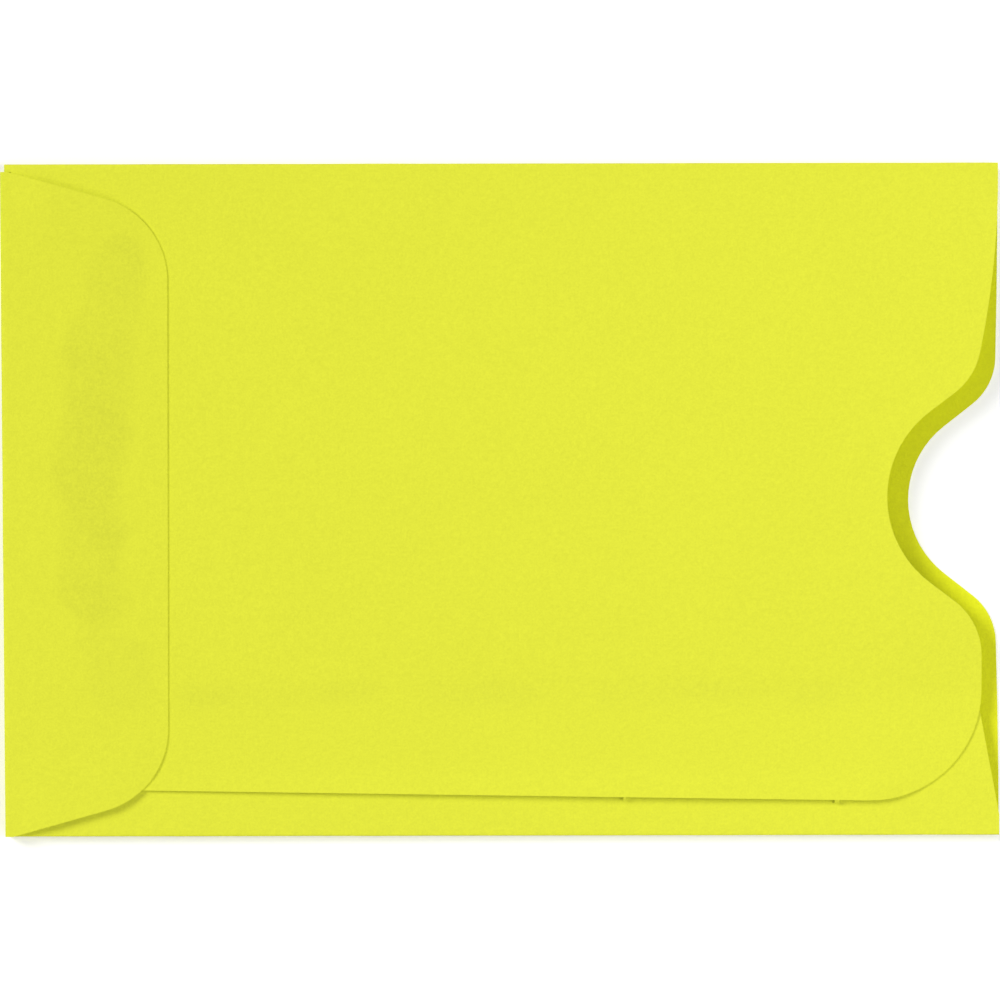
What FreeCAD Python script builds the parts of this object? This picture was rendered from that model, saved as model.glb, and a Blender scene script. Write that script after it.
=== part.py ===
"""Paper sleeve for one gift card: a die-cut sheet folded on three creases and closed with two patches of gum.

The sleeve lies on its front panel with the seam side up. X runs from the closed end to the mouth,
Y runs across it from the seam fold to the back fold, and Z runs up through the layers of paper.
The origin is under the middle of the sleeve, on the surface that it lies on.
Sizes are in millimetres and angles in degrees.
"""

import FreeCAD, Part
import math
import os

from FreeCAD import Vector

half_turn = 180.0
quarter_turn = 90.0
closing_gap = 1e-6


def sine(angle):
    return math.sin(math.radians(angle))


def cosine(angle):
    return math.cos(math.radians(angle))


def tangent(angle):
    return math.tan(math.radians(angle))


# Sheet, gum and the card that the pocket takes
sleeve_length = 88.9
sleeve_width = 59.9
paper = 0.15
gum = 0.04
card_thickness = 0.76
card_slip = 0.14

# Thumb notch and mouth edge of the front panel
notch_offset = -0.1
notch_radius = 8.3
notch_flank = 3.24
notch_flank_angle = 52.0
notch_shoulder = 5.35
mouth_hollow = 0.22

# Back panel: its own deeper notch, the lip beside it, the free edge over the seam and the bow of the mouth
back_notch_offset = 0.14
back_notch_radius = 9.5
back_notch_flank = 2.75
back_notch_flank_angle = 53.0
back_notch_shoulder = 6.1
back_lip_setback = 1.57
back_lip_straight = 3.0
back_edge_margin = 3.1
back_edge_slant = 0.9
back_end_setback = 0.2
mouth_bow = 1.8

# Seam flap, folded in under the back panel
seam_flap_reach = 12.7
seam_flap_land = 1.25
seam_flap_slant = 10.5
seam_flap_corner = 2.0
seam_flap_end_setback = 0.6

# End flap, folded over the closed end
end_flap_reach = 14.9
end_flap_taper = 15.7
end_flap_corner = 7.5
end_flap_shift = 0.39

# Gum lines
seam_gum_width = 5.0
seam_gum_inset = 1.6
seam_gum_end_gap = 6.0
seam_gum_mouth_gap = 17.0
seam_gum_corner = 2.0
end_gum_width = 8.0
end_gum_trim = 0.4
end_gum_shift = 1.6
end_gum_edge_gap = 1.5
end_gum_corner = 3.0

# Undersides of the layers, counted up from the table
pocket_gap = card_thickness + card_slip
seam_flap_z = paper + pocket_gap
back_panel_z = seam_flap_z + paper + gum
end_flap_z = back_panel_z + paper + gum

# Outer radius of each fold, which is half of the height that it climbs
seam_fold_radius = (seam_flap_z + paper) / 2
back_fold_radius = (back_panel_z + paper) / 2
end_fold_radius = (end_flap_z + paper) / 2

# Lines where the flat panels end and the folds begin
closed_x = end_fold_radius - sleeve_length / 2
mouth_x = sleeve_length / 2
seam_y = seam_fold_radius - sleeve_width / 2
back_y = sleeve_width / 2 - back_fold_radius
seam_flap_inner_y = seam_flap_reach - sleeve_width / 2
end_flap_edge_x = end_flap_reach - sleeve_length / 2

# Tapered sides of the end flap, and what they and the round corners leave straight of its edge
end_flap_root_half_width = back_y + end_flap_shift
end_flap_taper_x = end_flap_edge_x - closed_x - end_flap_corner * (1 - sine(end_flap_taper))
end_flap_taper_y = end_flap_taper_x * tangent(end_flap_taper) + end_flap_corner * cosine(end_flap_taper)
end_flap_straight = 2 * (end_flap_root_half_width - end_flap_taper_y)


class DieLine:
    """The cutting line of one flat piece: straight runs and round bends that follow on from each other."""

    def __init__(self, x, y, heading):
        self.start = Vector(x, y, 0)
        self.point = self.start
        self.heading = heading
        self.edges = []

    def run_to(self, x, y):
        """Draws a straight run to a point, and leaves the heading as it was."""
        target = Vector(x, y, 0)
        self.edges.append(Part.LineSegment(self.point, target).toShape())
        self.point = target

    def run(self, length):
        """Draws a straight run along the heading."""
        self.run_to(self.point.x + length * cosine(self.heading), self.point.y + length * sine(self.heading))

    def face_to(self, heading):
        """Turns on the spot, for a sharp corner."""
        self.heading = heading

    def bend(self, radius, turn):
        """Draws a round bend, to the left where turn is positive and to the right where it is negative."""
        side = math.copysign(quarter_turn, turn)
        centre = self.point + radius * Vector(cosine(self.heading + side), sine(self.heading + side), 0)

        def on_bend(share):
            angle = self.heading - side + share * turn
            return centre + radius * Vector(cosine(angle), sine(angle), 0)

        target = on_bend(1.0)
        self.edges.append(Part.Arc(self.point, on_bend(0.5), target).toShape())
        self.point = target
        self.heading += turn

    def sheet(self, underside, thickness):
        """Closes the line, if it is still open, and gives the piece its thickness."""
        if self.point.distanceToPoint(self.start) > closing_gap:
            self.run_to(self.start.x, self.start.y)
        face = Part.Face(Part.Wire(self.edges))
        face.translate(Vector(0, 0, underside))
        return face.extrude(Vector(0, 0, thickness))


class Notch:
    """Half-round thumb notch with straight flanks and round shoulders, cut into an edge that faces +X."""

    def __init__(self, radius, flank, flank_angle, shoulder):
        self.radius = radius
        self.flank = flank
        self.flank_angle = flank_angle
        self.shoulder = shoulder
        self.half_width = (radius + shoulder) * sine(flank_angle) + flank * cosine(flank_angle)

    def ease(self, setback, distance):
        """(radius, turn) of the arc from a corner of the mouth to the shoulder, which lies setback behind it.

        The arc leaves the corner square to the fold, distance away from the shoulder's centre,
        and runs into the shoulder without a kink.
        """
        reach = self.shoulder + setback
        radius = (reach**2 + distance**2 - self.shoulder**2) / (2 * setback)
        return radius, math.degrees(math.atan2(distance, radius - reach))

    def cut(self, line, turned_before, turned_after):
        """Draws the notch on a line that heads along +Y, less what the edge turns on each side of it."""
        line.bend(self.shoulder, self.flank_angle - turned_before)
        line.run(self.flank)
        line.bend(self.radius, -2 * self.flank_angle)
        line.run(self.flank)
        line.bend(self.shoulder, self.flank_angle - turned_after)


front_notch = Notch(notch_radius, notch_flank, notch_flank_angle, notch_shoulder)
back_notch = Notch(back_notch_radius, back_notch_flank, back_notch_flank_angle, back_notch_shoulder)


def box(low_x, high_x, low_y, high_y, underside, thickness):
    corner = Vector(low_x, low_y, underside)
    return Part.makeBox(high_x - low_x, high_y - low_y, thickness, corner)


def front_panel():
    """The panel that lies on the table, with the shallower notch in its mouth edge."""
    low_ease = front_notch.ease(mouth_hollow, notch_offset - front_notch.half_width - seam_y)
    high_ease = front_notch.ease(mouth_hollow, back_y - notch_offset - front_notch.half_width)
    line = DieLine(closed_x, seam_y, 0)
    line.run_to(mouth_x, seam_y)
    line.face_to(quarter_turn)
    line.bend(*low_ease)
    front_notch.cut(line, low_ease[1], high_ease[1])
    line.bend(*high_ease)
    line.run_to(closed_x, back_y)
    return line.sheet(0, paper)


def bowed_layer():
    """The back panel's layer of paper, flat by the closed end and the seam, and bowed up at the mouth."""

    def section(x, bow):
        """The layer's cross-section at x, with its upper and lower edges bowed alike."""

        def edge(height):
            ends = Vector(x, seam_flap_inner_y, height), Vector(x, back_y, height)
            if bow == 0:
                return Part.LineSegment(*ends).toShape()
            middle = Vector(x, (seam_flap_inner_y + back_y) / 2, height + bow)
            return Part.Arc(ends[0], middle, ends[1]).toShape()

        lower = edge(back_panel_z)
        upper = edge(back_panel_z + paper)
        sides = [
            Part.LineSegment(low.Point, high.Point).toShape()
            for low, high in zip(lower.Vertexes, upper.Vertexes)
        ]
        return Part.Wire([lower, sides[1], upper, sides[0]])

    bowed = Part.makeLoft([section(end_flap_edge_x, 0), section(mouth_x, mouth_bow)], True, True)
    by_end = box(closed_x, end_flap_edge_x, seam_y, back_y, back_panel_z, paper)
    by_seam = box(end_flap_edge_x, mouth_x, seam_y, seam_flap_inner_y, back_panel_z, paper)
    return bowed.fuse([by_end, by_seam]).removeSplitter()


def back_panel():
    """The panel folded over from the back fold, with the deeper notch and a round corner at the seam."""
    lip_x = mouth_x - back_lip_setback
    left_x = closed_x + back_end_setback
    edge_y = back_edge_margin - sleeve_width / 2
    lip_low_y = back_notch_offset - back_notch.half_width - back_lip_straight
    corner_radius = (lip_low_y - edge_y) / cosine(back_edge_slant)
    bend_start_x = lip_x - corner_radius * (1 + sine(back_edge_slant))
    high_ease = back_notch.ease(back_lip_setback, back_y - back_notch_offset - back_notch.half_width)
    line = DieLine(left_x, edge_y + (bend_start_x - left_x) * tangent(back_edge_slant), -back_edge_slant)
    line.run_to(bend_start_x, edge_y)
    line.bend(corner_radius, quarter_turn + back_edge_slant)
    line.run(back_lip_straight)
    back_notch.cut(line, 0, high_ease[1])
    line.bend(*high_ease)
    line.run_to(left_x, back_y)
    outline = line.sheet(back_panel_z - paper, mouth_bow + 3 * paper)
    return bowed_layer().common(outline)


def seam_flap():
    """The flap folded in from the seam fold, with slanted ends clear of the mouth and the end fold."""
    slanted = seam_flap_inner_y - seam_y - seam_flap_land
    lean = slanted * tangent(seam_flap_slant)
    bend_run = seam_flap_corner * tangent((quarter_turn - seam_flap_slant) / 2)
    side = slanted / cosine(seam_flap_slant) - bend_run
    left_x = closed_x + seam_flap_end_setback
    line = DieLine(left_x, seam_y, 0)
    line.run_to(mouth_x, seam_y)
    line.run_to(mouth_x, seam_y + seam_flap_land)
    line.face_to(quarter_turn + seam_flap_slant)
    line.run(side)
    line.bend(seam_flap_corner, quarter_turn - seam_flap_slant)
    line.run(mouth_x - left_x - 2 * (lean + bend_run))
    line.bend(seam_flap_corner, quarter_turn - seam_flap_slant)
    line.run(side)
    return line.sheet(seam_flap_z, paper)


def end_flap():
    """The tapered flap folded over the closed end, trimmed flush with the seam side."""
    taper_run = end_flap_taper_x / cosine(end_flap_taper)
    line = DieLine(closed_x, -end_flap_shift - end_flap_root_half_width, end_flap_taper)
    line.run(taper_run)
    line.bend(end_flap_corner, quarter_turn - end_flap_taper)
    line.run(end_flap_straight)
    line.bend(end_flap_corner, quarter_turn - end_flap_taper)
    line.run(taper_run)
    sleeve = box(closed_x, end_flap_edge_x, -sleeve_width / 2, sleeve_width / 2, end_flap_z, paper)
    return line.sheet(end_flap_z, paper).common(sleeve)


def roll(corners, axis_point, axis):
    """A half-round fold: the cut edge of the front panel, swept half a turn about the middle of the fold."""
    edge_face = Part.Face(Part.makePolygon([*corners, corners[0]]))
    return edge_face.revolve(axis_point, axis, half_turn)


def fold_along_x(edge_y, radius, axis):
    corners = [
        Vector(closed_x, edge_y, 0),
        Vector(mouth_x, edge_y, 0),
        Vector(mouth_x, edge_y, paper),
        Vector(closed_x, edge_y, paper),
    ]
    return roll(corners, Vector(0, edge_y, radius), axis)


def back_fold():
    return fold_along_x(back_y, back_fold_radius, Vector(1, 0, 0))


def seam_fold():
    return fold_along_x(seam_y, seam_fold_radius, Vector(-1, 0, 0))


def end_fold():
    """The crease that the end flap turns on."""
    corners = [
        Vector(closed_x, seam_y, 0),
        Vector(closed_x, back_y, 0),
        Vector(closed_x, back_y, paper),
        Vector(closed_x, seam_y, paper),
    ]
    return roll(corners, Vector(closed_x, 0, end_fold_radius), Vector(0, 1, 0))


def patch(low_x, high_x, low_y, high_y, corner, underside):
    """A film of gum with round corners."""
    line = DieLine(low_x + corner, low_y, 0)
    for _ in range(2):
        line.run(high_x - low_x - 2 * corner)
        line.bend(corner, quarter_turn)
        line.run(high_y - low_y - 2 * corner)
        line.bend(corner, quarter_turn)
    return line.sheet(underside, gum)


def seam_gum():
    """The line of gum that holds the back panel down on the seam flap."""
    low_x = closed_x + seam_gum_end_gap
    high_x = mouth_x - seam_gum_mouth_gap
    high_y = seam_flap_inner_y - seam_gum_inset
    return patch(low_x, high_x, high_y - seam_gum_width, high_y, seam_gum_corner, seam_flap_z + paper)


def end_gum():
    """The patch of gum under the end flap, which holds it down on the back panel."""
    high_x = end_flap_edge_x - end_gum_edge_gap
    middle_y = end_gum_shift - end_flap_shift
    half_length = end_flap_straight / 2 - end_gum_trim
    low_y = middle_y - half_length
    high_y = middle_y + half_length
    return patch(high_x - end_gum_width, high_x, low_y, high_y, end_gum_corner, back_panel_z + paper)


pieces = {
    "front_panel": front_panel,
    "back_panel": back_panel,
    "seam_flap": seam_flap,
    "end_flap": end_flap,
    "back_fold": back_fold,
    "seam_fold": seam_fold,
    "end_fold": end_fold,
    "seam_gum": seam_gum,
    "end_gum": end_gum,
}

os.makedirs("parts", exist_ok=True)
for name, build in pieces.items():
    build().exportStep(f"parts/{name}.step")
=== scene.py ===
"""Looks of a folded paper sleeve for a gift card: its paper, creases and gum, built around the fixed frame.

The sleeve lies on its front panel with the seam side up. X runs from the closed end to the mouth,
Y from the seam fold to the back fold, and Z up through the layers of paper. Lengths are in metres.
"""

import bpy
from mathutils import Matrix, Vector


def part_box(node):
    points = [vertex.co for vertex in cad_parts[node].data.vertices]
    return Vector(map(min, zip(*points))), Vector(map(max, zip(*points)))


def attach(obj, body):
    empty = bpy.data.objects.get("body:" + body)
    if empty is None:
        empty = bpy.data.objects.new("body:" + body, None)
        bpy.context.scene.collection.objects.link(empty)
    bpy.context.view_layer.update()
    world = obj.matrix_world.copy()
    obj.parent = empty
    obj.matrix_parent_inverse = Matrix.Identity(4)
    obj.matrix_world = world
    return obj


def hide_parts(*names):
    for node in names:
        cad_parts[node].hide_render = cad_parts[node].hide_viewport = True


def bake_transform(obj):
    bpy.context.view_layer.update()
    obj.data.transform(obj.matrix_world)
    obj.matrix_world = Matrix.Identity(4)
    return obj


bl_info = {
    "name": "Gift Card Sleeve",
    "version": (1, 0, 0),
    "blender": (4, 5, 0),
    "location": "3D View > Sidebar > Sleeve",
    "description": "Builds the paper, creases and gum of a folded gift card sleeve around its fixed frame",
    "category": "Object",
}

import math

import bmesh
import bpy
from bpy.props import FloatProperty, FloatVectorProperty, IntProperty, PointerProperty
from bpy.types import Operator, Panel, PropertyGroup
from mathutils import Vector, kdtree, noise

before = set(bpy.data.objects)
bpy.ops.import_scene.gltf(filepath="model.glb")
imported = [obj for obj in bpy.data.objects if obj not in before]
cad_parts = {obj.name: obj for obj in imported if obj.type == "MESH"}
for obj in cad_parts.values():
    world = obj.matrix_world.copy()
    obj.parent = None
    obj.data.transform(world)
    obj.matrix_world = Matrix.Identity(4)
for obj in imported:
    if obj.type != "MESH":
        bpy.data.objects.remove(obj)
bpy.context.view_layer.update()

MM = 0.001
X_AXIS = Vector((1, 0, 0))
Y_AXIS = Vector((0, 1, 0))
UP = Vector((0, 0, 1))

# Fold lines and layers, read from the frame
FRONT_LOW, FRONT_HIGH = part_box("front_panel")
BACK_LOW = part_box("back_panel")[0]
SEAM_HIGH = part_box("seam_flap")[1]
END_LOW, END_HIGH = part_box("end_flap")
END_GUM_LOW, END_GUM_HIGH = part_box("end_gum")
SEAM_GUM_LOW, SEAM_GUM_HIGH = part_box("seam_gum")
END_FOLD_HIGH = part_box("end_fold")[1]
BACK_FOLD_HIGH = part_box("back_fold")[1]
SEAM_FOLD_LOW, SEAM_FOLD_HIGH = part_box("seam_fold")
PAPER = FRONT_HIGH.z - FRONT_LOW.z
CLOSED_X = FRONT_LOW.x
MOUTH_X = FRONT_HIGH.x
SEAM_Y = FRONT_LOW.y
BACK_Y = FRONT_HIGH.y
BACK_TOP = BACK_LOW.z + PAPER

# Distances within which points are joined, or count as lying on a line
WELD = 0.001 * MM
ON_LINE = 0.01 * MM

# Seeds that keep the noises of the sheet and the gum apart
FRONT_SEED = 1.0
BACK_SEED = 2.0
FINE_WAVE_SEED = 3.0
CREASE_SEED = 5.0
WAVE_SEED = 7.0
RIM_SEED = 9.0
SEAM_SEED = 11.0


class SleevePaperSettings(PropertyGroup):
    """Sizes and colours of the sheet and its gum."""

    paper_colour: FloatVectorProperty(
        name="Paper",
        description="Colour of the dyed paper",
        subtype="COLOR",
        default=(0.80, 0.832, 0.046),
    )
    # Painted shade: the faces inside the pocket take this colour instead of the paper's, with less blue and
    # a little lighter, so that the shade in the pocket renders a deeper, lighter yellow
    pocket_shade_colour: FloatVectorProperty(
        name="Inside",
        description="Colour of the paper inside the pocket, with painted shade that deepens and lightens it",
        subtype="COLOR",
        default=(0.845, 0.88, 0.017),
    )
    cut_edge_colour: FloatVectorProperty(
        name="Cut edge",
        description="Colour of the fibres along a die-cut edge",
        subtype="COLOR",
        default=(0.83, 0.86, 0.085),
    )
    gum_colour: FloatVectorProperty(
        name="Gum",
        description="Colour of the dried gum over the paper",
        subtype="COLOR",
        default=(0.75, 0.725, 0.045),
    )
    cell: FloatProperty(
        name="Bending cell",
        description="Size of the cells that the panels bend in",
        unit="LENGTH",
        default=0.75 * MM,
    )
    flap_cell: FloatProperty(
        name="Flap cell",
        description="Size of the cells that the flaps bend in",
        unit="LENGTH",
        default=0.4 * MM,
    )
    mouth_bow: FloatProperty(
        name="Mouth bow",
        description="How far the back panel bows up across the mouth",
        unit="LENGTH",
        default=1.8 * MM,
    )
    cockle_height: FloatProperty(
        name="Cockle height",
        description="Height of the slow waves that damp leaves in paper",
        unit="LENGTH",
        default=0.035 * MM,
    )
    cockle_length: FloatProperty(
        name="Cockle length",
        description="Length of the slow waves that damp leaves in paper",
        unit="LENGTH",
        default=12.0 * MM,
    )
    gum_cockle_height: FloatProperty(
        name="Gum cockle height",
        description="Height of the small waves over the gum",
        unit="LENGTH",
        default=0.014 * MM,
    )
    gum_cockle_length: FloatProperty(
        name="Gum cockle length",
        description="Length of the small waves over the gum",
        unit="LENGTH",
        default=1.9 * MM,
    )
    seam_edge_lift: FloatProperty(
        name="Seam edge lift",
        description="How far the back panel's edge springs up beside the seam gum",
        unit="LENGTH",
        default=0.38 * MM,
    )
    seam_corner_press: FloatProperty(
        name="Seam corner press",
        description="How far the back panel's round corner is pressed down on the seam flap",
        unit="LENGTH",
        default=0.035 * MM,
    )
    nick_length: FloatProperty(
        name="Nick length",
        description="How far the torn tabs of the die cut stand out of the back panel's seam edge",
        unit="LENGTH",
        default=0.28 * MM,
    )
    seam_corner_lift: FloatProperty(
        name="Flap corner lift at the seam",
        description="How far the end flap's corner at the seam springs up",
        unit="LENGTH",
        default=0.29 * MM,
    )
    back_corner_lift: FloatProperty(
        name="Flap corner lift at the back",
        description="How far the end flap's corner at the back fold springs up",
        unit="LENGTH",
        default=0.46 * MM,
    )
    flap_clearance: FloatProperty(
        name="Flap clearance",
        description="Gap at the root of the end flap, so that the flap swings clear of the back crease",
        unit="LENGTH",
        default=0.03 * MM,
    )
    gum_edge_press: FloatProperty(
        name="Gum edge press",
        description="How far the end flap's straight edge is pressed down past the gum",
        unit="LENGTH",
        default=0.04 * MM,
    )
    edge_curl: FloatProperty(
        name="Edge curl",
        description="How far the die leaves a cut edge curled up",
        unit="LENGTH",
        default=0.02 * MM,
    )
    edge_curl_width: FloatProperty(
        name="Edge curl width",
        description="Width of the curl along a cut edge",
        unit="LENGTH",
        default=0.7 * MM,
    )
    crease_steps: IntProperty(
        name="Crease steps",
        description="Facets round each crease",
        default=24,
        min=6,
    )
    crease_skew: FloatProperty(
        name="End crease skew",
        description="How far the end crease draws in from the back fold to the seam fold",
        unit="LENGTH",
        default=0.38 * MM,
    )
    fibre_depth: FloatProperty(
        name="Fibre depth",
        description="Relief of the fibres on the face of the paper",
        unit="LENGTH",
        default=0.02 * MM,
    )


class SleeveStageSettings(PropertyGroup):
    """Light, floor and camera."""

    key_elevation: FloatProperty(
        name="Key elevation",
        description="Height of the key light above the horizon",
        subtype="ANGLE",
        default=math.radians(38),
    )
    key_bearing: FloatProperty(
        name="Key bearing",
        description="Direction of the key light, from +Y towards -X",
        subtype="ANGLE",
        default=math.radians(60),
    )
    key_share: FloatProperty(
        name="Key share",
        description="Share of the light on the table that comes from the key",
        subtype="FACTOR",
        default=0.36,
    )
    fill_share: FloatProperty(
        name="Fill share",
        description="Share of the light on the table that comes from the fill",
        subtype="FACTOR",
        default=0.26,
    )
    fill_place: FloatVectorProperty(
        name="Fill place",
        description="Place of the fill light, beyond the mouth",
        subtype="TRANSLATION",
        unit="LENGTH",
        default=(0.45, 0.0, 0.7),
    )
    low_share: FloatProperty(
        name="Low fill share",
        description="Share of the light on the table that comes from the low fill",
        subtype="FACTOR",
        default=0.13,
    )
    low_place: FloatVectorProperty(
        name="Low fill place",
        description="Place of the low fill, near the seam side",
        subtype="TRANSLATION",
        unit="LENGTH",
        default=(0.15, -0.32, 0.38),
    )
    fill_size: FloatProperty(
        name="Fill size",
        description="Width of each square fill light",
        unit="LENGTH",
        default=0.3,
    )
    key_softness: FloatProperty(
        name="Key softness",
        description="Angle that the key light fills in the sky",
        subtype="ANGLE",
        default=math.radians(26),
    )
    lens: FloatProperty(
        name="Lens",
        description="Focal length of the camera",
        unit="CAMERA",
        default=400.0,
    )
    picture_centre: FloatVectorProperty(
        name="Picture centre",
        description="Place on the table under the middle of the picture",
        subtype="TRANSLATION",
        unit="LENGTH",
        size=2,
        default=(0.045 * MM, -0.036 * MM),
    )
    picture_width: FloatProperty(
        name="Picture width",
        description="Width that the picture covers at the sleeve",
        unit="LENGTH",
        default=89.17 * MM,
    )
    camera_roll: FloatProperty(
        name="Camera roll",
        description="Small turn of the camera about its line of sight",
        subtype="ANGLE",
        default=math.radians(0.115),
    )


def paper_settings():
    return bpy.context.scene.sleeve_paper


def stage_settings():
    return bpy.context.scene.sleeve_stage


def ease(share):
    """Smooth step from 0 to 1, held outside that range."""
    held = min(max(share, 0.0), 1.0)
    return held * held * (3 - 2 * held)


def ripple(x, y, length, seed):
    """Smooth noise from 0 to 1 with waves of about the given length."""
    return 0.5 + 0.5 * noise.noise(Vector((x / length, y / length, seed)))


# Materials


# Turn of each of the two sets of fibres, and its fineness in features per millimetre
FIBRE_SETS = (
    (math.radians(24), (0.8, 7.0, 1.0)),
    (math.radians(-52), (7.0, 0.9, 1.0)),
)

# Share of each part of the texture in the tone of the paper and in its relief
TONE_SHARES = {"formation": 0.028, "fibres": 0.012, "grain": 0.034, "cloud": 0.02, "specks": -0.05}
RELIEF_SHARES = {"formation": 0.5, "fibres": 0.3, "grain": 0.35}
TONE_MIDDLE = 0.046

# Cells per millimetre that may hold a speck, the share that do, and the radii of a speck in cells
SPECK_SCALE = 1.2
SPECK_SHARE = 0.015
SPECK_CORE = 0.06
SPECK_RIM = 0.14

# How matt each surface is, and how much they all reflect
PAPER_ROUGHNESS = 0.9
MARK_ROUGHNESS = 0.78
CREASE_ROUGHNESS = 0.92
CUT_ROUGHNESS = 0.95
GUM_ROUGHNESS = 0.35
SPECULAR = 0.2

# Added tone on the worn ridge of a crease, and the relief of a cut edge in fibre depths
RIDGE_PALENESS = 0.05
CUT_RELIEF = 1.5

# Sockets of a mix node: its share, its two colours and the mixed colour
MIX_SHARE, MIX_FIRST, MIX_SECOND, MIX_RESULT = 0, 6, 7, 2

# Kinds of sockets of a node group
NUMBER = "NodeSocketFloat"
VECTOR = "NodeSocketVector"


def feed(tree, source, socket):
    """Links a socket to another node's output, or sets its plain value."""
    if isinstance(source, bpy.types.NodeSocket):
        tree.links.new(source, socket)
    else:
        socket.default_value = source


def number(tree, operation, first, second=0.0):
    node = tree.nodes.new("ShaderNodeMath")
    node.operation = operation
    feed(tree, first, node.inputs[0])
    feed(tree, second, node.inputs[1])
    return node.outputs[0]


def vector(tree, operation, first, second):
    node = tree.nodes.new("ShaderNodeVectorMath")
    node.operation = operation
    feed(tree, first, node.inputs[0])
    feed(tree, second, node.inputs["Scale"] if operation == "SCALE" else node.inputs[1])
    return node.outputs[0]


def mottle(tree, place, scale, detail, output=0):
    """Noise from 0 to 1, in features per millimetre where the place is in millimetres."""
    node = tree.nodes.new("ShaderNodeTexNoise")
    feed(tree, place, node.inputs["Vector"])
    feed(tree, scale, node.inputs["Scale"])
    feed(tree, detail, node.inputs["Detail"])
    return node.outputs[output]


def spread(tree, source, low=0.0, high=1.0, to_low=0.0, to_high=1.0, kind="LINEAR"):
    """Maps a range of values to another, held at its ends."""
    node = tree.nodes.new("ShaderNodeMapRange")
    node.interpolation_type = kind
    feed(tree, source, node.inputs["Value"])
    feed(tree, low, node.inputs["From Min"])
    feed(tree, high, node.inputs["From Max"])
    feed(tree, to_low, node.inputs["To Min"])
    feed(tree, to_high, node.inputs["To Max"])
    return node.outputs[0]


def turned(tree, place, angle, scale):
    node = tree.nodes.new("ShaderNodeMapping")
    feed(tree, place, node.inputs["Vector"])
    node.inputs["Rotation"].default_value = (0, 0, angle)
    node.inputs["Scale"].default_value = scale
    return node.outputs[0]


def parted(tree, source):
    """The X and Y of a vector."""
    node = tree.nodes.new("ShaderNodeSeparateXYZ")
    feed(tree, source, node.inputs[0])
    return node.outputs["X"], node.outputs["Y"]


def attribute(tree, name):
    """A value that the mesh keeps at its points."""
    node = tree.nodes.new("ShaderNodeAttribute")
    node.attribute_name = name
    return node.outputs["Fac"]


def weighed(tree, parts, shares):
    """Sum of the named parts, each times its share."""
    total = 0.0
    for name, share in shares.items():
        total = number(tree, "ADD", number(tree, "MULTIPLY", parts[name], share), total)
    return total


def past_core(tree, offset, half_size, radius):
    """How far an offset from the middle lies past the core of a box with round ends."""
    core = number(tree, "SUBTRACT", half_size, radius)
    past = number(tree, "SUBTRACT", number(tree, "ABSOLUTE", offset), core)
    return number(tree, "MAXIMUM", past, 0.0)


def new_group(name, inputs, outputs):
    """A node group with named sockets, and the sockets to build between."""
    group = bpy.data.node_groups.new(name, "ShaderNodeTree")
    for label, kind in inputs:
        group.interface.new_socket(label, in_out="INPUT", socket_type=kind)
    for label, kind in outputs:
        group.interface.new_socket(label, in_out="OUTPUT", socket_type=kind)
    start = group.nodes.new("NodeGroupInput")
    end = group.nodes.new("NodeGroupOutput")
    return group, start.outputs, end.inputs


def placed_group(tree, group, **values):
    node = tree.nodes.new("ShaderNodeGroup")
    node.node_tree = group
    for label, value in values.items():
        feed(tree, value, node.inputs[label])
    return node.outputs


def specks(tree, place):
    """1 in the few small dark specks that pulp leaves in paper, and 0 around them."""
    cells = tree.nodes.new("ShaderNodeTexVoronoi")
    cells.voronoi_dimensions = "2D"
    feed(tree, place, cells.inputs["Vector"])
    cells.inputs["Scale"].default_value = SPECK_SCALE
    chosen = number(tree, "GREATER_THAN", cells.outputs["Color"], 1 - SPECK_SHARE)
    inside = spread(tree, cells.outputs["Distance"], SPECK_RIM, SPECK_CORE)
    return number(tree, "MULTIPLY", chosen, inside)


def paper_fibre_group():
    """Cloudy formation, crossing fibres and fine grain of uncoated paper: a tone near 1 and a relief."""
    name = "Paper fibre"
    if name in bpy.data.node_groups:
        return bpy.data.node_groups[name]
    tree, given, result = new_group(
        name,
        [("Place", VECTOR), ("Contrast", NUMBER)],
        [("Tone", NUMBER), ("Relief", NUMBER)],
    )
    place = vector(tree, "SCALE", given["Place"], 1 / MM)
    along, across = (
        mottle(tree, turned(tree, place, angle, fineness), scale=1.0, detail=2)
        for angle, fineness in FIBRE_SETS
    )
    parts = {
        "cloud": mottle(tree, place, scale=0.085, detail=2),
        "formation": spread(tree, mottle(tree, place, scale=2.2, detail=2), low=0.3, high=0.7),
        "fibres": spread(tree, number(tree, "MAXIMUM", along, across), low=0.5, high=0.78),
        "grain": spread(tree, mottle(tree, place, scale=5.0, detail=1), low=0.3, high=0.7),
        "specks": specks(tree, place),
    }
    tone = number(tree, "SUBTRACT", weighed(tree, parts, TONE_SHARES), TONE_MIDDLE)
    tone = number(tree, "MULTIPLY", tone, given["Contrast"])
    feed(tree, number(tree, "ADD", tone, 1.0), result["Tone"])
    feed(tree, weighed(tree, parts, RELIEF_SHARES), result["Relief"])
    return tree


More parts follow.
